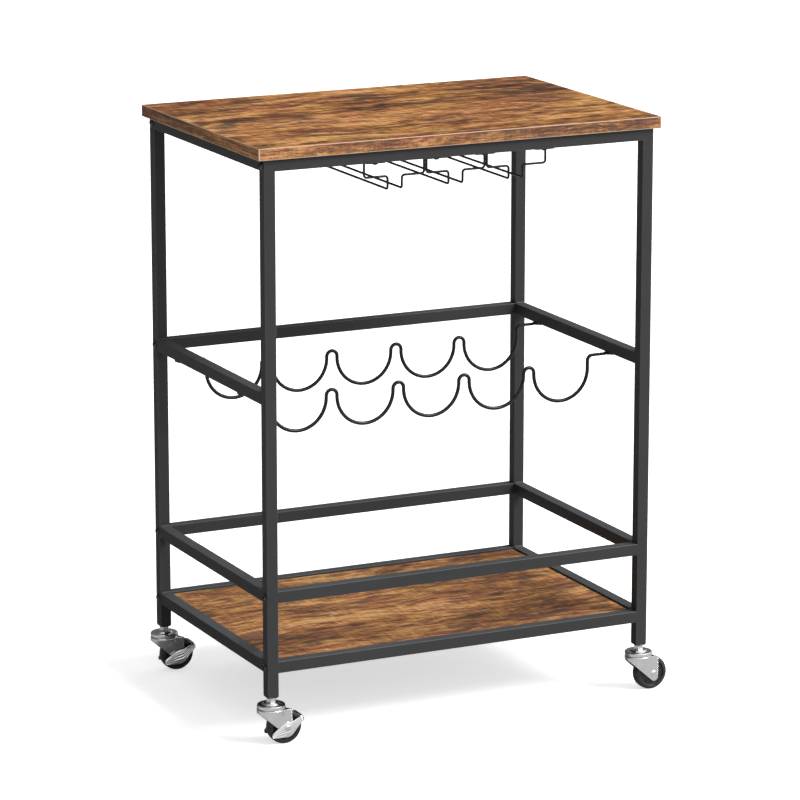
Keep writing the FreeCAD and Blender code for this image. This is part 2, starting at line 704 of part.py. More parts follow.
side_screws, rack_screws = tabletop_screw_places()
board_tip = top_z + screw_bite
save(Part.makeCompound([screw(x, y, top_rail_z, board_tip) for x, y in side_screws]), "tabletop_screws")
shelf_tip = shelf_rail_z + tab_sheet + min(screw_bite, shelf_thickness - 2)
save(Part.makeCompound([screw(*tab_hole(*place), shelf_rail_z, shelf_tip) for place in tab_places()]),
     "shelf_screws")

wine_screws = [screw(sx * leg_x, y, mid_rail_z - wave_tab_sheet, mid_rail_z + tube_wall + short_screw_reach)
               for sx in (-1, 1) for y in (wave_front_y, wave_back_y)]
rack_head_z = top_rail_z - stem_tab_sheet
stem_screws = [screw(x, y, rack_head_z, board_tip) for x, y in rack_screws]
save(Part.makeCompound(wine_screws + stem_screws), "rack_screws")

save(wave(wave_front_y), "wine_rack_wire_front")
save(wave(wave_back_y), "wine_rack_wire_back")
for k, name in enumerate(["left", "mid_left", "mid_right", "right"]):
    save(stem_rail(k), "stem_rail_" + name)

all_balls = []
for corner, (sx, sy) in LEGS.items():
    place = V(sx * leg_x, sy * leg_y, 0)
    braked = corner in BRAKED
    outer_y = lever_y + lever_sheet + side_gap if braked else plate_y + fork_sheet
    pieces = {"leg_insert_": leg_insert(), "caster_stem_": caster_stem(), "swivel_cup_": swivel_cup(),
              "fork_": fork(), "wheel_": wheel(), "axle_": axle(outer_y)}
    if braked:
        pieces["brake_lever_"] = brake_lever()
    for name, shape in pieces.items():
        shape.translate(place)
        save(shape, name + corner)
    for ball in bearing_balls():
        ball.translate(place)
        all_balls.append(ball)
save(Part.makeCompound(all_balls), "bearing_balls")
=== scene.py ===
import math

import bmesh
import bpy
import numpy as np
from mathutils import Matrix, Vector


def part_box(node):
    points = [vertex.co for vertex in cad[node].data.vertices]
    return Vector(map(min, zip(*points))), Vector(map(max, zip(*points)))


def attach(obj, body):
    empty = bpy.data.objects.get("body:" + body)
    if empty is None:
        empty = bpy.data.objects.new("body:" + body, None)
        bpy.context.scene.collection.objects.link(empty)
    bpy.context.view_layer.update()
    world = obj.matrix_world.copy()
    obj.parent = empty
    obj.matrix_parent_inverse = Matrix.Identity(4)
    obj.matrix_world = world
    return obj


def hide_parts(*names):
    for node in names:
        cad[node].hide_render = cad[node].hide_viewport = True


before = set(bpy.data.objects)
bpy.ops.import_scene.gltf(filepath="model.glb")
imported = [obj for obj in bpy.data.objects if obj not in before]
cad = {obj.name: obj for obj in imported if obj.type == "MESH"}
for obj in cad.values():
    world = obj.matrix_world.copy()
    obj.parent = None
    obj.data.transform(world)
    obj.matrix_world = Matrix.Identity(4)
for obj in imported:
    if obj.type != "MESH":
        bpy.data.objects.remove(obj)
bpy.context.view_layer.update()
CORNERS = ("front_left", "front_right", "back_left", "back_right")
MM = 0.001


# ---- End frames -----------------------------------------------------------------------------
# Each end of the cart is a ladder of 16 mm square steel tube: two legs with four rails welded
# between them, ground flat on the outside, then coated with satin black powder in one piece.
def node(tree, kind, sockets=None, **settings):
    """One shader node. Plain values are set on its sockets, and outputs of other nodes are linked."""
    made = tree.nodes.new("ShaderNode" + kind)
    for name, value in settings.items():
        setattr(made, name, value)
    for name, value in (sockets or {}).items():
        if isinstance(value, bpy.types.NodeSocket):
            tree.links.new(value, made.inputs[name])
        else:
            made.inputs[name].default_value = value
    return made


def maths(tree, operation, *values):
    """Output of one Math node on up to three values, held between 0 and 1 for CLAMPED_ operations."""
    held = operation.startswith("CLAMPED_")
    return node(tree, "Math", dict(enumerate(values)), operation=operation.replace("CLAMPED_", ""),
                use_clamp=held).outputs[0]


def ramp(tree, value, stops):
    """Colour looked up along a list of (position, colour) stops."""
    made = node(tree, "ValToRGB", {"Fac": value})
    elements = made.color_ramp.elements
    while len(elements) < len(stops):
        elements.new(0.5)
    for element, (position, colour) in zip(elements, stops):
        element.position = position
        element.color = (*colour, 1.0) if isinstance(colour, tuple) else (colour, colour, colour, 1.0)
    return made.outputs["Color"]


def blended(tree, factor, first, second, mode="MIX"):
    """Colour mixed from two, by the factor."""
    made = node(tree, "Mix", data_type="RGBA", blend_type=mode)
    for socket, value in ((made.inputs[0], factor), (made.inputs[6], first), (made.inputs[7], second)):
        if isinstance(value, bpy.types.NodeSocket):
            tree.links.new(value, socket)
        elif isinstance(value, tuple):
            socket.default_value = (*value, 1.0)
        else:
            socket.default_value = value
    return made.outputs[2]


def noise(tree, where, scale, detail=2.0, roughness=0.5):
    """Noise between 0 and 1, at so many cells a metre, or at (x, y, z) cells a metre if drawn out."""
    if isinstance(scale, tuple):
        where = node(tree, "VectorMath", {0: where, 1: scale}, operation="MULTIPLY").outputs[0]
        scale = 1.0
    sockets = {"Vector": where, "Scale": scale, "Detail": detail, "Roughness": roughness}
    return node(tree, "TexNoise", sockets).outputs["Fac"]


def new_finish(name, **shader_values):
    """A material with a Principled shader, as (material, tree, shader, object coordinates)."""
    material = bpy.data.materials.new(name)
    material.use_nodes = True
    tree = material.node_tree
    shader = tree.nodes["Principled BSDF"]
    for socket, value in shader_values.items():
        shader.inputs[socket.replace("_", " ")].default_value = value
    return material, tree, shader, node(tree, "TexCoord").outputs["Object"]


def bumped(tree, shader, height, depth):
    """Surface relief of the shader from a height between 0 and 1, depth metres from 0 to 1."""
    made = node(tree, "Bump", {"Height": height, "Distance": depth, "Strength": 1.0})
    tree.links.new(made.outputs[0], shader.inputs["Normal"])


def arris(tree):
    """1 on the rounded corners of an upright or level square tube and 0 on its flats, by how far the
    surface normal is from its nearest axis."""
    normal = node(tree, "TexCoord").outputs["Normal"]
    parts = node(tree, "SeparateXYZ", {0: normal}).outputs
    sizes = [maths(tree, "ABSOLUTE", part) for part in parts]
    largest = maths(tree, "MAXIMUM", sizes[0], maths(tree, "MAXIMUM", sizes[1], sizes[2]))
    return maths(tree, "CLAMPED_MULTIPLY", maths(tree, "SUBTRACT", 1.0, largest), 5.0)


def powder_coat():
    """Satin black powder: orange peel of about a millimetre, slow changes of tone, and a smoother coat
    on the corners of the tube, with a lighter grey painted along them as a highlight line. What
    faces straight up is painted a mottled lighter grey, as the light that falls on the tops."""
    material, tree, shader, place = new_finish("powder_coat_black", Specular_IOR_Level=0.16)
    peel = noise(tree, place, 850.0, 3.0, 0.55)
    tone = noise(tree, place, 9.0, 3.0, 0.6)
    speck = noise(tree, place, 2600.0, 1.0)
    # Painted highlight: where corner is high, a lighter grey is painted along the rounded corners of the
    # tube, which are also smoother.
    corner = maths(tree, "MULTIPLY", arris(tree), maths(tree, "ADD", 0.45, noise(tree, place, 60.0, 3.0)))
    colour = blended(tree, tone, (0.027, 0.0275, 0.0285), (0.038, 0.0385, 0.0395))
    colour = blended(tree, maths(tree, "MULTIPLY", speck, 0.35), colour, (0.060, 0.060, 0.061))
    colour = blended(tree, maths(tree, "CLAMPED_MULTIPLY", corner, 0.70), colour, (0.150, 0.153, 0.158))
    # Painted top light: the dust mask paints a mottled lighter grey on what faces straight up, for the light
    # that falls on the tops.
    upward = node(tree, "SeparateXYZ", {0: node(tree, "TexCoord").outputs["Normal"]}).outputs[2]
    level = maths(tree, "CLAMPED_MULTIPLY", maths(tree, "SUBTRACT", upward, 0.90), 10.0)
    dust = maths(tree, "MULTIPLY", level, maths(tree, "ADD", 0.22, maths(tree, "MULTIPLY", tone, 0.40)))
    colour = blended(tree, dust, colour, (0.110, 0.116, 0.122))
    tree.links.new(colour, shader.inputs["Base Color"])
    rough = maths(tree, "ADD", 0.48, maths(tree, "MULTIPLY", tone, 0.12))
    rough = maths(tree, "SUBTRACT", rough, maths(tree, "MULTIPLY", corner, 0.10))
    tree.links.new(rough, shader.inputs["Roughness"])
    bumped(tree, shader, peel, 0.00010)
    return material


def finished(names, material):
    """The CAD nodes shown with this material."""
    for name in names:
        cad[name].material_slots[0].material = material


coat = powder_coat()
side_rails = [n for n in cad if n.startswith("side_rail_")]
finished([n for n in cad if n.startswith("leg_") and "insert" not in n], coat)
finished(side_rails, coat)


# ---- Welds of the end frames ----------------------------------------------------------------
# Fillet welds across the tube, above and below each side rail where it meets a leg. They were
# run before coating, so they are steel under the same black powder, with soft ripples.
WELD_LEG = 1.7 * MM
WELD_LENGTH = 13.0 * MM
WELD_RIPPLE = 1.5 * MM
WELD_ROWS = 61
WELD_ARC = 9


def mesh_object(name, points, faces, turn_out=True):
    """Smooth-shaded mesh object with these points and faces, its doubles merged. Its faces are turned
    outwards if asked."""
    mesh = bpy.data.meshes.new(name)
    mesh.from_pydata(np.asarray(points).tolist(), [], np.asarray(faces).tolist())
    cleaned(mesh, turn_out)
    made = bpy.data.objects.new(name, mesh)
    bpy.context.scene.collection.objects.link(made)
    return made


def cleaned(mesh, turn_out, gap=1e-6):
    """The mesh with its doubles merged, its flat faces dropped and, if asked, its faces outwards."""
    work = bmesh.new()
    work.from_mesh(mesh)
    bmesh.ops.remove_doubles(work, verts=work.verts, dist=gap)
    bmesh.ops.dissolve_degenerate(work, edges=work.edges, dist=gap * 0.1)
    if turn_out:
        bmesh.ops.recalc_face_normals(work, faces=work.faces)
    for face in work.faces:
        face.smooth = True
    work.to_mesh(mesh)
    work.free()


def weld_bead(corner, along_y, along_z):
    """Points of one bead. Along its length it swells from nothing at both ends and ripples as a sine.
    Round its section it runs over a quarter circle from one steel face to the other, and then to a
    root a little inside their corner."""
    t = np.linspace(0.0, 1.0, WELD_ROWS)[:, None]
    v = np.linspace(0.0, math.pi / 2, WELD_ARC)[None, :]
    swell = np.clip(np.minimum(t, 1 - t) * 9, 0, 1) ** 0.5
    leg = WELD_LEG * swell * (1 + 0.07 * np.sin(2 * math.pi * t * WELD_LENGTH / WELD_RIPPLE))
    points = np.zeros((WELD_ROWS, WELD_ARC + 1, 3))
    points[:, :, 0] = corner[0] + (t - 0.5) * WELD_LENGTH
    points[:, :WELD_ARC, 1] = corner[1] + along_y * leg * np.cos(v)
    points[:, :WELD_ARC, 2] = corner[2] + along_z * leg * np.sin(v)
    points[:, WELD_ARC, 1] = corner[1] - along_y * WELD_LEG * 0.2
    points[:, WELD_ARC, 2] = corner[2] - along_z * WELD_LEG * 0.2
    return points


def welds_of(side):
    """All beads of one end frame as one mesh. Beads that mirror each other have their faces turned."""
    parts, faces, start = [], [], 0
    for rail in (n for n in side_rails if n.endswith(side)):
        low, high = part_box(rail)
        edges = [(low.z, -1)] if "top" in rail else [(low.z, -1), (high.z, 1)]
        for z, up in edges:
            for y, inward in ((low.y, 1), (high.y, -1)):
                points = weld_bead(((low.x + high.x) / 2, y, z), inward, up)
                rows, columns = points.shape[:2]
                index = start + np.arange(rows * columns).reshape(rows, columns)
                after = np.roll(index, -1, axis=1)
                quads = np.stack([index[:-1], after[:-1], after[1:], index[1:]], axis=-1).reshape(-1, 4)
                faces.append(quads if inward * up > 0 else quads[:, ::-1])
                parts.append(points.reshape(-1, 3))
                start += rows * columns
    return mesh_object("weld_beads_" + side, np.concatenate(parts), np.concatenate(faces), turn_out=False)


for side in ("left", "right"):
    beads = welds_of(side)
    beads.data.materials.append(coat)
    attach(beads, "cart")


# ---- Long rails and their bolts -------------------------------------------------------------
# Rails of the same tube, coated apart, hold the two end frames together. A dome-head bolt goes
# through each leg into a threaded steel plug that is pressed into the end of the rail.
def black_zinc():
    """Black zinc plate: near black, half-gloss, rubbed to a paler grey in scattered spots."""
    material, tree, shader, place = new_finish("black_zinc_plate", Metallic=0.85, Specular_IOR_Level=0.5)
    cloud = noise(tree, place, 420.0, 4.0, 0.6)
    scuff = ramp(tree, noise(tree, place, 900.0, 5.0, 0.7), [(0.55, 0.0), (0.78, 1.0)])
    colour = blended(tree, cloud, (0.050, 0.051, 0.055), (0.115, 0.117, 0.122))
    tree.links.new(blended(tree, scuff, colour, (0.20, 0.20, 0.205)), shader.inputs["Base Color"])
    rough = maths(tree, "ADD", 0.16, maths(tree, "MULTIPLY", cloud, 0.14))
    tree.links.new(rough, shader.inputs["Roughness"])
    bumped(tree, shader, cloud, 0.00003)
    return material


def plain_steel():
    """Zinc-washed steel of the hidden plugs: dull grey with a fine turned grain."""
    material, tree, shader, place = new_finish("zinc_washed_steel", Metallic=1.0)
    grain = noise(tree, place, (3000.0, 500.0, 500.0), 3.0)
    tree.links.new(blended(tree, grain, (0.42, 0.42, 0.43), (0.60, 0.60, 0.61)), shader.inputs["Base Color"])
    tree.links.new(maths(tree, "ADD", 0.30, maths(tree, "MULTIPLY", grain, 0.2)), shader.inputs["Roughness"])
    bumped(tree, shader, grain, 0.00004)
    return material


screw_finish = black_zinc()
finished([n for n in cad if n.startswith("long_rail_")], coat)
finished(["frame_bolts"], screw_finish)
finished(["rail_end_plugs"], plain_steel())


# ---- Bottom shelf ---------------------------------------------------------------------------
# A 12 mm particle board with a rustic brown woodgrain print, dropped between the shelf rails
# onto tabs that are welded inside them, and held from below with short screws.
EDGE_BAND = 0.9 * MM
WOOD_TONES = [(0.426, (0.036, 0.017, 0.011)), (0.461, (0.100, 0.038, 0.018)), (0.493, (0.215, 0.080, 0.026)),
              (0.524, (0.345, 0.145, 0.039)), (0.557, (0.500, 0.240, 0.066)), (0.592, (0.660, 0.370, 0.125))]


def woodgrain(name, board, shift, light, faded):
    """Rustic brown print. Its colour is looked up by a weighted sum of noises drawn out along a swaying
    grain, from slow patches to fibres. Russet areas, dark smudges, cracks and light shine are
    thresholded noises too. Knots are the nearest points of a sparse scatter with rings of distance
    round them, and chatter is short noise across the grain. The edge band, within a millimetre of
    the board's edges, follows the edge, is paler, and carries a painted highlight: a light line
    along the arrises and the corners. The underside is dull backing paper, painted dark grey as the
    shade beneath the board. The light value lifts the whole look-up; the shelf's larger one is
    painted light against the shade it lies in. The faded value is the share of a flat pinkish tan."""
    low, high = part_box(board)
    middle, half = (low + high) / 2, (high - low) / 2
    material, tree, shader, place = new_finish(name, Specular_IOR_Level=0.10)
    x, y, z = node(tree, "SeparateXYZ", {0: place}).outputs

    def past(value, centre, reach):
        off = maths(tree, "ABSOLUTE", maths(tree, "SUBTRACT", value, centre))
        return maths(tree, "SUBTRACT", off, reach - EDGE_BAND)

    past_end, past_side = past(x, middle.x, half.x), past(y, middle.y, half.y)
    band = maths(tree, "CLAMPED_MULTIPLY", maths(tree, "MAXIMUM", past_end, past_side), 3000.0)
    squeeze = maths(tree, "ADD", 1.0, maths(tree, "MULTIPLY", band, 1.2))
    along = maths(tree, "ADD", maths(tree, "MULTIPLY", x, squeeze), maths(tree, "MULTIPLY", y, band))
    across = maths(tree, "ADD", maths(tree, "MULTIPLY", y, maths(tree, "SUBTRACT", 1.0, band)),
                   maths(tree, "MULTIPLY", maths(tree, "MULTIPLY", z, band), 3.6))
    flat = node(tree, "CombineXYZ", {0: maths(tree, "ADD", along, shift), 1: across, 2: shift}).outputs[0]

    def swing(scale, width):
        centred = maths(tree, "SUBTRACT", noise(tree, flat, scale, 2.0), 0.5)
        return maths(tree, "MULTIPLY", centred, width)

    sideways = maths(tree, "ADD", swing((5.0, 9.0, 1.0), 0.050), swing((26.0, 34.0, 1.0), 0.012))
    sway = node(tree, "CombineXYZ", {1: sideways}).outputs[0]
    wavy = node(tree, "VectorMath", {0: flat, 1: sway}).outputs[0]

    patches = noise(tree, wavy, (4.5, 17.0, 1.0), 2.0, 0.5)
    streaks = noise(tree, wavy, (13.0, 88.0, 1.0), 6.0, 0.74)
    strokes = noise(tree, wavy, (36.0, 150.0, 1.0), 2.0, 0.5)
    fibres = noise(tree, wavy, (48.0, 620.0, 1.0), 3.0, 0.6)
    chatter = noise(tree, flat, (190.0, 26.0, 1.0), 3.0, 0.6)
    level = maths(tree, "ADD", maths(tree, "MULTIPLY", patches, 0.28), light)
    for layer, share in ((streaks, 0.40), (strokes, 0.19), (fibres, 0.07), (chatter, 0.06)):
        level = maths(tree, "ADD", level, maths(tree, "MULTIPLY", layer, share))
    colour = ramp(tree, level, WOOD_TONES)
    russet = ramp(tree, noise(tree, wavy, (6.0, 26.0, 1.0), 3.0), [(0.44, 0.0), (0.62, 1.0)])
    colour = blended(tree, maths(tree, "MULTIPLY", russet, 0.55), colour, (1.05, 0.86, 1.35), "MULTIPLY")

    smudge = ramp(tree, noise(tree, wavy, (15.0, 46.0, 1.0), 4.0, 0.66), [(0.55, 0.0), (0.63, 1.0)])
    colour = blended(tree, maths(tree, "MULTIPLY", smudge, 0.72), colour, (0.066, 0.046, 0.036))
    cracks = ramp(tree, noise(tree, wavy, (26.0, 120.0, 1.0), 5.0, 0.66), [(0.575, 0.0), (0.63, 1.0)])
    colour = blended(tree, maths(tree, "MULTIPLY", cracks, 0.82), colour, (0.026, 0.014, 0.010))
    shine = ramp(tree, noise(tree, wavy, (20.0, 104.0, 1.0), 4.0, 0.7), [(0.56, 0.0), (0.66, 1.0)])
    colour = blended(tree, maths(tree, "MULTIPLY", shine, 0.48), colour, (0.68, 0.40, 0.14))
    spots = node(tree, "VectorMath", {0: wavy, 1: (4.6, 9.0, 1.0)}, operation="MULTIPLY").outputs[0]
    knot = node(tree, "TexVoronoi", {"Vector": spots, "Scale": 1.0, "Randomness": 1.0}).outputs["Distance"]
    rings = maths(tree, "MULTIPLY", maths(tree, "SINE", maths(tree, "MULTIPLY", knot, 110.0)), 0.30)
    dark = ramp(tree, knot, [(0.04, 1.0), (0.10, 0.55), (0.18, 0.0)])
    dark = maths(tree, "CLAMPED_MULTIPLY", dark, maths(tree, "ADD", 0.75, rings))
    colour = blended(tree, dark, colour, (0.026, 0.015, 0.011))
    colour = blended(tree, 0.42, colour, chatter, "OVERLAY")
    colour = blended(tree, faded, colour, (0.335, 0.205, 0.145))

    pale = blended(tree, 0.22, colour, (0.290, 0.160, 0.105))
    colour = blended(tree, band, colour, pale)
    to_face = maths(tree, "SUBTRACT", half.z, maths(tree, "ABSOLUTE", maths(tree, "SUBTRACT", z, middle.z)))
    to_corner = maths(tree, "MULTIPLY", maths(tree, "MINIMUM", past_end, past_side), -1.0)
    to_arris = maths(tree, "SUBTRACT", 1.2 * MM, maths(tree, "MINIMUM", to_face, to_corner))
    arris_line = maths(tree, "CLAMPED_MULTIPLY", to_arris, 2500.0)
    # Painted highlight: a light line painted along the arrises and corners of the edge band.
    painted_arris_highlight = maths(tree, "MULTIPLY", maths(tree, "MULTIPLY", band, arris_line), 0.85)
    colour = blended(tree, painted_arris_highlight, colour, (0.640, 0.440, 0.320))
    # Painted shade: the underside is backing paper, given a dark grey for the shade beneath the board.
    under = maths(tree, "CLAMPED_MULTIPLY", maths(tree, "SUBTRACT", low.z + 0.1 * MM, z), 20000.0)
    colour = blended(tree, maths(tree, "MULTIPLY", under, 0.85), colour, (0.070, 0.067, 0.064))
    tree.links.new(colour, shader.inputs["Base Color"])

    rough = maths(tree, "ADD", 0.46, maths(tree, "MULTIPLY", streaks, 0.18))
    rough = maths(tree, "ADD", rough, maths(tree, "MULTIPLY", dark, 0.10))
    tree.links.new(rough, shader.inputs["Roughness"])
    relief = maths(tree, "SUBTRACT", maths(tree, "MULTIPLY", fibres, 0.6),
                   maths(tree, "MULTIPLY", cracks, 0.6))
    bumped(tree, shader, maths(tree, "ADD", relief, maths(tree, "MULTIPLY", chatter, 0.4)), 0.00014)
    return material


finished(["shelf_tabs"], coat)
# The shelf's print is lifted lighter than the tabletop's: painted light that makes up for the shade under the
# tabletop.
finished(["bottom_shelf"], woodgrain("woodgrain_shelf", "bottom_shelf", 3.1, light=0.024, faded=0.17))
finished(["shelf_screws"], screw_finish)


# ---- Wine rack and stemware rack ------------------------------------------------------------
# Bent steel wire, pressed or welded to flat drilled tabs and dipped in a semi-gloss black coat.
# Pan-head screws hold the tabs under the mid side rails and under the top long rails.
def wire_coat():
    """Dipped coat: deeper black than the powder, glossier, with slow thickness waves along the wire."""
    material, tree, shader, place = new_finish("dipped_coat_black", Specular_IOR_Level=0.26)
    wave = noise(tree, place, 55.0, 2.0)
    pinholes = noise(tree, place, 1500.0, 2.0)
    colour = blended(tree, wave, (0.007, 0.007, 0.008), (0.014, 0.014, 0.015))
    tree.links.new(blended(tree, maths(tree, "MULTIPLY", pinholes, 0.3), colour, (0.028, 0.028, 0.029)),
                   shader.inputs["Base Color"])
    tree.links.new(maths(tree, "ADD", 0.18, maths(tree, "MULTIPLY", wave, 0.14)), shader.inputs["Roughness"])
    bumped(tree, shader, maths(tree, "ADD", wave, maths(tree, "MULTIPLY", pinholes, 0.2)), 0.00012)
    return material


finished([n for n in cad if n.startswith(("wine_rack_wire_", "stem_rail_"))], wire_coat())
finished(["rack_screws"], screw_finish)


# ---- Tabletop -------------------------------------------------------------------------------
# A 16 mm board with the same print and paler edge bands, laid over the frame and screwed from
# below through the top rails.
finished(["tabletop"], woodgrain("woodgrain_tabletop", "tabletop", 0.37, light=0.008, faded=0.05))
finished(["tabletop_screws"], screw_finish)


# ---- Leg inserts ----------------------------------------------------------------------------
# Moulded black plastic plugs that close the feet of the legs and grip the caster stems.
def moulded_plastic():
    """Black moulded plastic: a fine spark-eroded grain and slightly shiny rubbed spots."""
    material, tree, shader, place = new_finish("moulded_plastic_black", Specular_IOR_Level=0.4)
    grain = noise(tree, place, 2200.0, 3.0)
    rub = noise(tree, place, 130.0, 3.0)
    colour = blended(tree, rub, (0.014, 0.014, 0.015), (0.030, 0.030, 0.031))
    tree.links.new(colour, shader.inputs["Base Color"])
    rough = maths(tree, "SUBTRACT", 0.58, maths(tree, "MULTIPLY", rub, 0.2))
    tree.links.new(rough, shader.inputs["Roughness"])
    bumped(tree, shader, grain, 0.00006)
    return material


plastic = moulded_plastic()
finished(["leg_insert_" + corner for corner in CORNERS], plastic)


# ---- Caster stems, cups and bearing balls ---------------------------------------------------
# The turned stem carries a hex collar and the kingpin. The cup is a bright chromed pressing that
# runs on a ring of steel balls over the crown of the fork.
def chrome():
    """Bright chrome plate: almost a mirror, with faint cloudy smudges and the roll lines of the sheet."""
    material, tree, shader, place = new_finish("chrome_plate", Metallic=1.0)
    smudge = noise(tree, place, 160.0, 4.0, 0.65)
    lines = noise(tree, place, (250.0, 250.0, 2600.0), 2.0)
    tree.links.new(blended(tree, smudge, (0.84, 0.84, 0.85), (0.97, 0.97, 0.98)), shader.inputs["Base Color"])
    rough = maths(tree, "ADD", 0.10, maths(tree, "MULTIPLY", smudge, 0.14))
    tree.links.new(rough, shader.inputs["Roughness"])
    bumped(tree, shader, maths(tree, "ADD", smudge, maths(tree, "MULTIPLY", lines, 0.15)), 0.00008)
    return material


def bright_zinc():
    """Bright zinc plate on turned parts: slightly blue, with a fine ring grain."""
    material, tree, shader, place = new_finish("bright_zinc_plate", Metallic=1.0)
    grain = noise(tree, place, (400.0, 400.0, 5000.0), 2.0)
    cloud = noise(tree, place, 240.0, 3.0)
    tree.links.new(blended(tree, cloud, (0.72, 0.73, 0.75), (0.90, 0.91, 0.92)), shader.inputs["Base Color"])
    rough = maths(tree, "ADD", 0.14, maths(tree, "MULTIPLY", cloud, 0.16))
    tree.links.new(rough, shader.inputs["Roughness"])
    bumped(tree, shader, grain, 0.00003)
    return material


chromed = chrome()
zinc = bright_zinc()
finished(["caster_stem_" + corner for corner in CORNERS], zinc)
finished(["swivel_cup_" + corner for corner in CORNERS], chromed)
finished(["bearing_balls"], zinc)


# ---- Forks and axles ------------------------------------------------------------------------
# One stamping of chromed sheet for each caster: a round crown that rolls over into a bulged
# shoulder, drawn in to two side plates behind and to a nose in front. The axle is a rivet.
SHEET = 1.7 * MM
SHOULDER = 2.2 * MM
BULGE_DROP = 15.0 * MM
FOOT = 5.8 * MM
SIDE_PLATE = 11.5 * MM
PIN_HOLE = 4.1 * MM
NOSE_FOLD = 5.6 * MM
NOSE_LENGTH = 12.4 * MM
CROWN_COLUMNS = 97
TAIL_COLUMNS = 23
WALL_ROWS = 34


def grid_faces(rows, columns, start=0, closed=False):
    """Quads between neighbours of a grid of points, round from the last column to the first if closed."""
    index = start + np.arange(rows * columns).reshape(rows, columns)
    after = np.roll(index, -1, axis=1)
    last = columns if closed else columns - 1
    quads = [index[:-1, :last], after[:-1, :last], after[1:, :last], index[1:, :last]]
    return np.stack(quads, axis=-1).reshape(-1, 4)


def smooth_step(t):
    """3 t squared less 2 t cubed, for t held between 0 and 1."""
    t = np.clip(t, 0.0, 1.0)
    return t * t * (3 - 2 * t)


def fork_surface(corner):
    """Outer face of a fork. The wall hangs from the crown's outline, an ellipse in front and a circle
    behind, and its half width goes over from the outline's to the side plates' as a smooth step of the
    depth. Its lower edge is a slope, tangent to the round foot. The crown is rings from the kingpin's
    hole out to the outline, and ends in a quarter round."""
    low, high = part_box("fork_" + corner)
    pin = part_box("caster_stem_" + corner)
    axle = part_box("axle_" + corner)
    x0, y0 = (pin[0].x + pin[1].x) / 2, (pin[0].y + pin[1].y) / 2
    ax, az = (axle[0].x + axle[1].x) / 2 - x0, (axle[0].z + axle[1].z) / 2
    nose, radius = x0 - low.x, (high.y - low.y) / 2
    top, back = high.z, high.x - x0

    turn = np.arccos(math.sqrt(radius ** 2 - SIDE_PLATE ** 2) / radius)
    theta = np.linspace(turn, 2 * math.pi - turn, CROWN_COLUMNS)
    crown_x = np.where(np.cos(theta) > 0, radius, nose) * np.cos(theta)
    crown_y = radius * np.sin(theta)
    foot_x, foot_z = ax + 0.3 * FOOT, low.z + FOOT
    round_foot = [math.asin((end - foot_x) / FOOT) for end in (crown_x[0], back)]
    tail = foot_x + FOOT * np.sin(np.linspace(*round_foot, TAIL_COLUMNS))[1:]
    x = np.concatenate([tail[::-1], crown_x, tail])
    side = np.sign(np.concatenate([np.ones(len(tail)), crown_y, -np.ones(len(tail))]))
    flank = np.full(len(tail), SIDE_PLATE)
    wide = np.concatenate([flank, np.abs(crown_y), flank])

    into = np.clip(x + nose, 0.0, NOSE_LENGTH)
    narrow = SIDE_PLATE * np.sqrt(np.clip(1 - (1 - into / NOSE_LENGTH) ** 2, 0, 1))
    front = np.array([-nose, top - NOSE_FOLD])
    to_foot = np.array([foot_x, foot_z]) - front
    gap = math.hypot(*to_foot)
    steep = math.atan2(to_foot[1], to_foot[0]) - math.asin(FOOT / gap)
    touch = foot_x + FOOT * math.sin(steep)
    slope = front[1] + math.tan(steep) * (x + nose)
    arc = foot_z - np.sqrt(np.clip(FOOT ** 2 - (x - foot_x) ** 2, 0, None))
    bottom = np.where(x < touch, slope, arc)

    v = np.linspace(0.0, 1.0, WALL_ROWS)[:, None]
    wall = np.zeros((WALL_ROWS, len(x), 3))
    start = top - SHOULDER
    wall[:, :, 2] = start + (bottom - start) * v
    draw = smooth_step((start - wall[:, :, 2]) / BULGE_DROP)
    wall[:, :, 0] = x
    wall[:, :, 1] = side * (wide + (np.minimum(narrow, wide) - wide) * draw)

    behind = np.linspace(-turn, turn, 33)[1:-1]
    ring_x = np.concatenate([crown_x, radius * np.cos(behind)])
    ring_y = np.concatenate([crown_y, radius * np.sin(behind)])
    reach = np.hypot(ring_x, ring_y)
    roll = np.linspace(0.0, math.pi / 2, 9)[:, None]
    level = np.linspace(1.0, 0.0, 7)[:-1, None]
    inward = np.concatenate([level * (reach - SHOULDER - PIN_HOLE) + SHOULDER,
                             SHOULDER * (1 - np.sin(roll)) + 0 * reach])
    drop = np.concatenate([0 * level, SHOULDER * (1 - np.cos(roll))])
    crown = np.zeros((*inward.shape, 3))
    crown[:, :, 0] = ring_x * (1 - inward / reach)
    crown[:, :, 1] = ring_y * (1 - inward / reach)
    crown[:, :, 2] = top - drop
    points = np.concatenate([wall.reshape(-1, 3), crown.reshape(-1, 3)]) + np.array([x0, y0, 0.0])
    faces = np.concatenate([grid_faces(*wall.shape[:2]),
                            grid_faces(*crown.shape[:2], start=wall[:, :, 0].size, closed=True)])
    return points, faces


def sheet_metal(piece, thickness, edge=0.25 * MM):
    """The surface given a wall behind it, and its cut edges broken."""
    wall = piece.modifiers.new("sheet", "SOLIDIFY")
    wall.thickness = thickness
    wall.offset = -1.0
    edges = piece.modifiers.new("broken_edges", "BEVEL")
    edges.width = edge
    edges.segments = 2
    edges.angle_limit = math.radians(50)


for corner in CORNERS:
    fork = mesh_object("fork_pressing_" + corner, *fork_surface(corner))
    sheet_metal(fork, SHEET)
    fork.data.materials.append(chromed)
    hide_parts("fork_" + corner)
    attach(fork, "fork_body_" + corner)
finished(["axle_" + corner for corner in CORNERS], zinc)


# ---- Wheels ---------------------------------------------------------------------------------
# Moulded in one piece of hard black rubber compound: a crowned tread with a fine parting line,
# rounded edges, a sunk web on both sides and a hub that runs on the axle. Sizes in millimetres.
BORE = 3.06
RIM = 6.0
WEB_SINK = 2.6
HUB_PROUD = 1.4


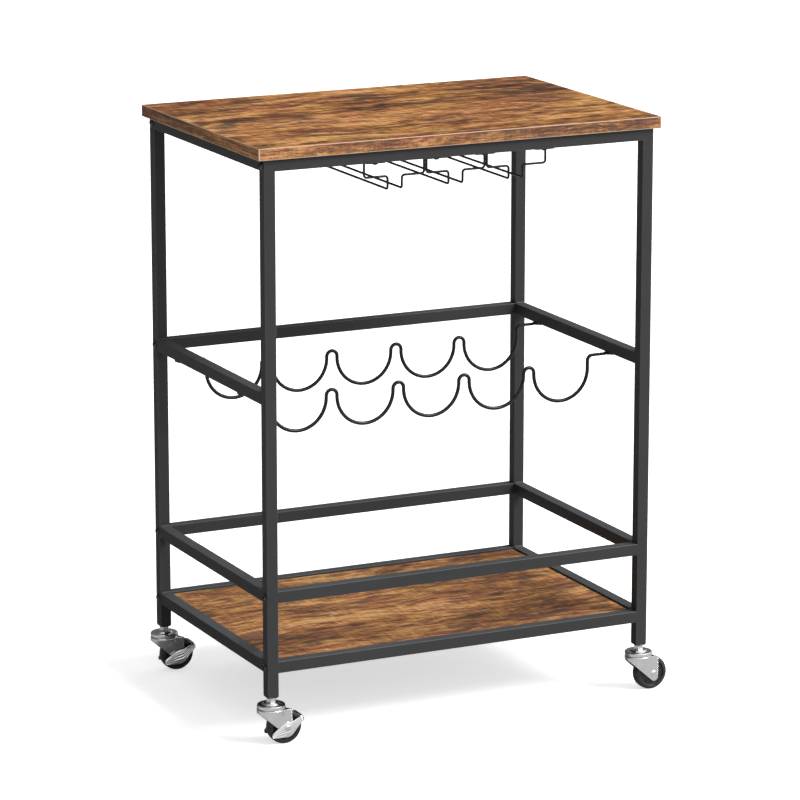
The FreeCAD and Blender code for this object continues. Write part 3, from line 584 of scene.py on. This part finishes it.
def wheel_rubber():
    """Hard black rubber: faintly glossy, dusted grey in scattered patches."""
    material, tree, shader, place = new_finish("wheel_rubber_black", Specular_IOR_Level=0.45)
    mould = noise(tree, place, 700.0, 3.0)
    dust = ramp(tree, noise(tree, place, 90.0, 5.0, 0.65), [(0.48, 0.0), (0.75, 1.0)])
    colour = blended(tree, mould, (0.012, 0.012, 0.012), (0.026, 0.026, 0.026))
    tree.links.new(blended(tree, maths(tree, "MULTIPLY", dust, 0.30), colour, (0.085, 0.082, 0.078)),
                   shader.inputs["Base Color"])
    tree.links.new(maths(tree, "ADD", 0.27, maths(tree, "MULTIPLY", dust, 0.24)), shader.inputs["Roughness"])
    bumped(tree, shader, mould, 0.00006)
    return material


def eased(corners, steps=6):
    """Points of a path whose corners, given as (r, y, ease), are each rounded by a parabola that starts
    and ends the ease before and after the corner."""
    corners = np.array(corners, dtype=float)
    points, ease = corners[:, :2], corners[:, 2:]
    before, after = points[:-2] - points[1:-1], points[2:] - points[1:-1]
    before *= ease[1:-1] / np.linalg.norm(before, axis=1, keepdims=True)
    after *= ease[1:-1] / np.linalg.norm(after, axis=1, keepdims=True)
    t = np.linspace(0.0, 1.0, steps)[None, :, None]
    middle = points[1:-1, None]
    curve = middle + (1 - t) ** 2 * before[:, None] + t ** 2 * after[:, None]
    return np.concatenate([points[:1], curve.reshape(-1, 2), points[-1:]])


def wheel_profile(radius, half, hub):
    """One half of the wheel's section from the bore to the middle of the tread, as (r, y): a path of
    straight runs with eased corners, worked out in millimetres."""
    rim, web = radius - RIM, half - WEB_SINK
    face = [(BORE, hub, 0), (6.6, hub, 0.5), (7.1, half + 0.2, 0.6), (8.5, half, 0.5), (9.0, web, 0.6),
            (rim - 0.4, web, 0.7), (rim, half, 0.7), (radius - 0.15, half, 4.4),
            (radius - 0.05, 0.5, 0.4), (radius, 0.16, 0)]
    return eased(face) * MM


tyre = wheel_rubber()
for corner in CORNERS:
    low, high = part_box("wheel_" + corner)
    middle = (low + high) / 2
    hub = (high.y - low.y) / 2 / MM
    half_profile = wheel_profile((high.z - low.z) / 2 / MM, hub - HUB_PROUD, hub)
    section = np.concatenate([half_profile, half_profile[::-1] * (1, -1)])
    spin = np.linspace(0.0, 2 * math.pi, 97)[:-1]
    r, y = section[:, 0, None], section[:, 1, None]
    surface = np.stack([middle.x + r * np.cos(spin), middle.y + y + 0 * spin,
                        middle.z + r * np.sin(spin)], axis=-1)
    surface = np.concatenate([surface, surface[:1]])
    wheel = mesh_object("wheel_moulding_" + corner, surface.reshape(-1, 3),
                        grid_faces(*surface.shape[:2], closed=True))
    wheel.data.materials.append(tyre)
    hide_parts("wheel_" + corner)
    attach(wheel, "wheel_body_" + corner)


# ---- Brake levers ---------------------------------------------------------------------------
# Bent chromed sheet on the two left casters: a cheek on each side of the fork, pivoted on the
# axle and stiffened by pressed ribs, with a toe across the tread that has a black plastic pad.
CHEEK = 1.3 * MM
CHEEK_DISH = 0.55 * MM
RIB = 0.50 * MM
TREAD_GAP = 0.8 * MM
TOE_LEAN = 27.0
TOE_SWEEP = 20.0
TOE_ROLL = 2.0 * MM
PAD = 1.1 * MM
PAD_SWEEP = 17.0
PAD_INSET = 1.2 * MM


def lever_edges(r):
    """Lower and upper edge of a cheek from the heel to the toe, as smooth curves through points given
    in shares of the wheel's radius from the axle: [i, (x, z)] each."""
    lower = np.array([(-0.93, -0.36), (-0.86, -0.50), (-0.55, -0.53), (-0.2, -0.53), (0.12, -0.52),
                      (0.36, -0.38), (0.56, -0.14), (0.78, 0.12), (0.93, 0.29), (0.985, 0.36)]) * r
    upper = np.array([(-0.93, -0.32), (-0.84, -0.20), (-0.5, 0.04), (-0.24, 0.21), (-0.02, 0.30),
                      (0.18, 0.31), (0.4, 0.39), (0.62, 0.49), (0.8, 0.58), (0.90, 0.62)]) * r
    return smooth_curve(lower, 64), smooth_curve(upper, 64)


def smooth_curve(points, count):
    """Catmull-Rom curve through the points, read at so many even steps."""
    padded = np.concatenate([2 * points[:1] - points[1:2], points, 2 * points[-1:] - points[-2:-1]])
    at = np.linspace(0.0, len(points) - 1.0, count)
    k = np.minimum(at.astype(int), len(points) - 2)
    t = (at - k)[:, None]
    a, b, c, d = padded[k], padded[k + 1], padded[k + 2], padded[k + 3]
    square, cube = 2 * a - 5 * b + 4 * c - d, 3 * b - a - 3 * c + d
    return 0.5 * (2 * b + (c - a) * t + square * t ** 2 + cube * t ** 3)


def cheek_surface(axle, r, inner_y, sign):
    """Outer face of a cheek. Across, it runs from the lower edge to the upper one. It is dished
    outwards as one less the fourth power of the distance from its middle line, and carries low ribs
    that rise as a squared cosine. Both fade out at the heel and the toe."""
    lower, upper = lever_edges(r)
    across = np.linspace(0.0, 1.0, 25)[None, :, None]
    flat = lower[:, None] + (upper - lower)[:, None] * across
    off = 2 * across[0, :, 0] - 1
    ribs = RIB * np.cos(2.5 * math.pi * off) ** 2 * (np.abs(off) < 0.8)
    rise = CHEEK_DISH * (1 - off ** 4) + ribs
    ends = smooth_step(np.linspace(0, 1, len(flat)) * 9) * smooth_step(np.linspace(1, 0, len(flat)) * 9)
    out = inner_y + CHEEK + rise[None, :] * ends[:, None]
    return np.stack([axle.x + flat[:, :, 0], axle.y + sign * out, axle.z + flat[:, :, 1]], axis=-1)


def toe_surface(axle, half, radius, sweep):
    """Strip across the tread, part of a cylinder round the axle, whose ends roll over into the cheeks."""
    angle = np.radians(TOE_LEAN + np.linspace(-sweep / 2, sweep / 2, 13))[:, None]
    t = np.linspace(-1.0, 1.0, 49)[None, :]
    edge = np.clip((np.abs(t) * half - (half - TOE_ROLL)) / TOE_ROLL, 0.0, 1.0)
    out = radius - TOE_ROLL * (1 - np.sqrt(1 - edge ** 2 * 0.98))
    return np.stack([axle.x + out * np.cos(angle), axle.y + t * half + 0 * angle,
                     axle.z + out * np.sin(angle)], axis=-1)


for corner in ("front_left", "back_left"):
    low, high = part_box("brake_lever_" + corner)
    wheel_low, wheel_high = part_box("wheel_" + corner)
    axle = (wheel_low + wheel_high) / 2
    r = (wheel_high.z - wheel_low.z) / 2
    half = (high.y - low.y) / 2
    parts = [cheek_surface(axle, r, half - CHEEK, sign) for sign in (-1, 1)]
    parts.append(toe_surface(axle, half, r + TREAD_GAP + CHEEK, TOE_SWEEP))
    faces, start = [], 0
    for part in parts:
        faces.append(grid_faces(*part.shape[:2], start=start))
        start += part.shape[0] * part.shape[1]
    points = np.concatenate([part.reshape(-1, 3) for part in parts])
    lever = mesh_object("brake_pressing_" + corner, points, np.concatenate(faces))
    sheet_metal(lever, CHEEK * 0.9)
    lever.data.materials.append(chromed)
    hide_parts("brake_lever_" + corner)
    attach(lever, "lever_body_" + corner)
    top = toe_surface(axle, half - PAD_INSET, r + TREAD_GAP + CHEEK + PAD, PAD_SWEEP)
    pad = mesh_object("brake_pad_" + corner, top.reshape(-1, 3), grid_faces(*top.shape[:2]))
    sheet_metal(pad, PAD, edge=0.35 * MM)
    pad.data.materials.append(plastic)
    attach(pad, "lever_body_" + corner)


# ---- Studio ---------------------------------------------------------------------------------
# A wide pale paper floor, one broad key light high in front on the right, two softboxes that
# the metal mirrors, and pale surroundings that are dimmer on the left. None of it belongs to
# the cart. The camera's two angles are in degrees.
FLOOR_REACH = 40.0
KEY_FROM = (0.56, -0.60, 0.80)
SKY_BRIGHT_SIDE = (0.50, -0.70, 0.50)
CART_MIDDLE = (0.0, 0.0, 0.4)
CAMERA_PLACE = (-2.4069, -4.9581, 1.7198)
CAMERA_DOWN = 13.418
CAMERA_RIGHT = 25.799


def studio_floor():
    """Level pale sheet that only shows from above. It is lit to the camera as white paper, and takes
    part in the lighting of the cart as mid grey, so that the black frame stays black."""
    reach = FLOOR_REACH
    corners = [(-reach, -reach, 0), (reach, -reach, 0), (reach, reach, 0), (-reach, reach, 0)]
    mesh = bpy.data.meshes.new("studio_floor")
    mesh.from_pydata(corners, [], [(0, 1, 2, 3)])
    floor = bpy.data.objects.new("studio_floor", mesh)
    bpy.context.scene.collection.objects.link(floor)
    material, tree, shader, place = new_finish("floor_paper", Roughness=0.9, Specular_IOR_Level=0.0)
    shader.inputs["Emission Color"].default_value = (1.0, 1.0, 1.0, 1.0)
    seen = node(tree, "LightPath").outputs["Is Camera Ray"]
    fleck = noise(tree, place, 3.0, 2.0)
    paper = blended(tree, fleck, (0.86, 0.86, 0.86), (0.88, 0.88, 0.88))
    tree.links.new(blended(tree, seen, (0.44, 0.44, 0.44), paper), shader.inputs["Base Color"])
    tree.links.new(maths(tree, "MULTIPLY", seen, 0.62), shader.inputs["Emission Strength"])
    clear = node(tree, "BsdfTransparent").outputs[0]
    under = node(tree, "NewGeometry").outputs["Backfacing"]
    both = node(tree, "MixShader", {0: under, 1: shader.outputs[0], 2: clear})
    tree.links.new(both.outputs[0], tree.nodes["Material Output"].inputs["Surface"])
    mesh.materials.append(material)


def light(name, kind, place, **settings):
    """Lamp at a place, facing the middle of the cart."""
    data = bpy.data.lights.new(name, kind)
    for setting, value in settings.items():
        setattr(data, setting, value)
    lamp = bpy.data.objects.new(name, data)
    lamp.location = place
    aim = np.array(CART_MIDDLE) - np.array(place)
    tilt = math.atan2(math.hypot(aim[0], aim[1]), -aim[2])
    lamp.rotation_euler = (tilt, 0, math.atan2(aim[0], -aim[1]) + math.pi)
    bpy.context.scene.collection.objects.link(lamp)


def studio_camera():
    """Long lens from in front on the left, five and a half metres away, looking down on the tabletop."""
    data = bpy.data.cameras.new("studio_camera")
    data.sensor_width = 36.0
    data.lens = 183.3
    data.clip_end = 200.0
    camera = bpy.data.objects.new("studio_camera", data)
    camera.location = CAMERA_PLACE
    camera.rotation_euler = (math.radians(90 - CAMERA_DOWN), 0, -math.radians(CAMERA_RIGHT))
    bpy.context.scene.collection.objects.link(camera)
    bpy.context.scene.camera = camera


def pale_sky():
    """Surroundings: white behind the cart, and as light on it a grey that brightens smoothly towards the
    key light's side, by the cosine of the direction to it."""
    world = bpy.data.worlds.new("pale_sky")
    world.use_nodes = True
    tree = world.node_tree
    direction = node(tree, "TexCoord").outputs["Generated"]
    toward = node(tree, "VectorMath", {0: direction, 1: SKY_BRIGHT_SIDE}, operation="DOT_PRODUCT")
    share = maths(tree, "MULTIPLY_ADD", toward.outputs["Value"], 0.5, 0.5)
    glow = ramp(tree, share, [(0.10, 0.05), (0.45, 0.16), (0.95, 1.0)])
    seen = node(tree, "LightPath").outputs["Is Camera Ray"]
    sky = tree.nodes["Background"]
    tree.links.new(blended(tree, seen, glow, (1.0, 1.0, 1.0)), sky.inputs["Color"])
    bpy.context.scene.world = world


studio_floor()
key_place = tuple(6.0 * part for part in KEY_FROM)
light("key_light", "SUN", key_place, energy=2.7, angle=math.radians(24))
light("right_softbox", "AREA", (2.6, -2.2, 1.5), size=1.6, energy=26.0)
light("left_softbox", "AREA", (-2.6, -1.6, 1.9), size=0.6, energy=1.5)
studio_camera()
pale_sky()
bpy.context.scene.view_settings.view_transform = "Standard"
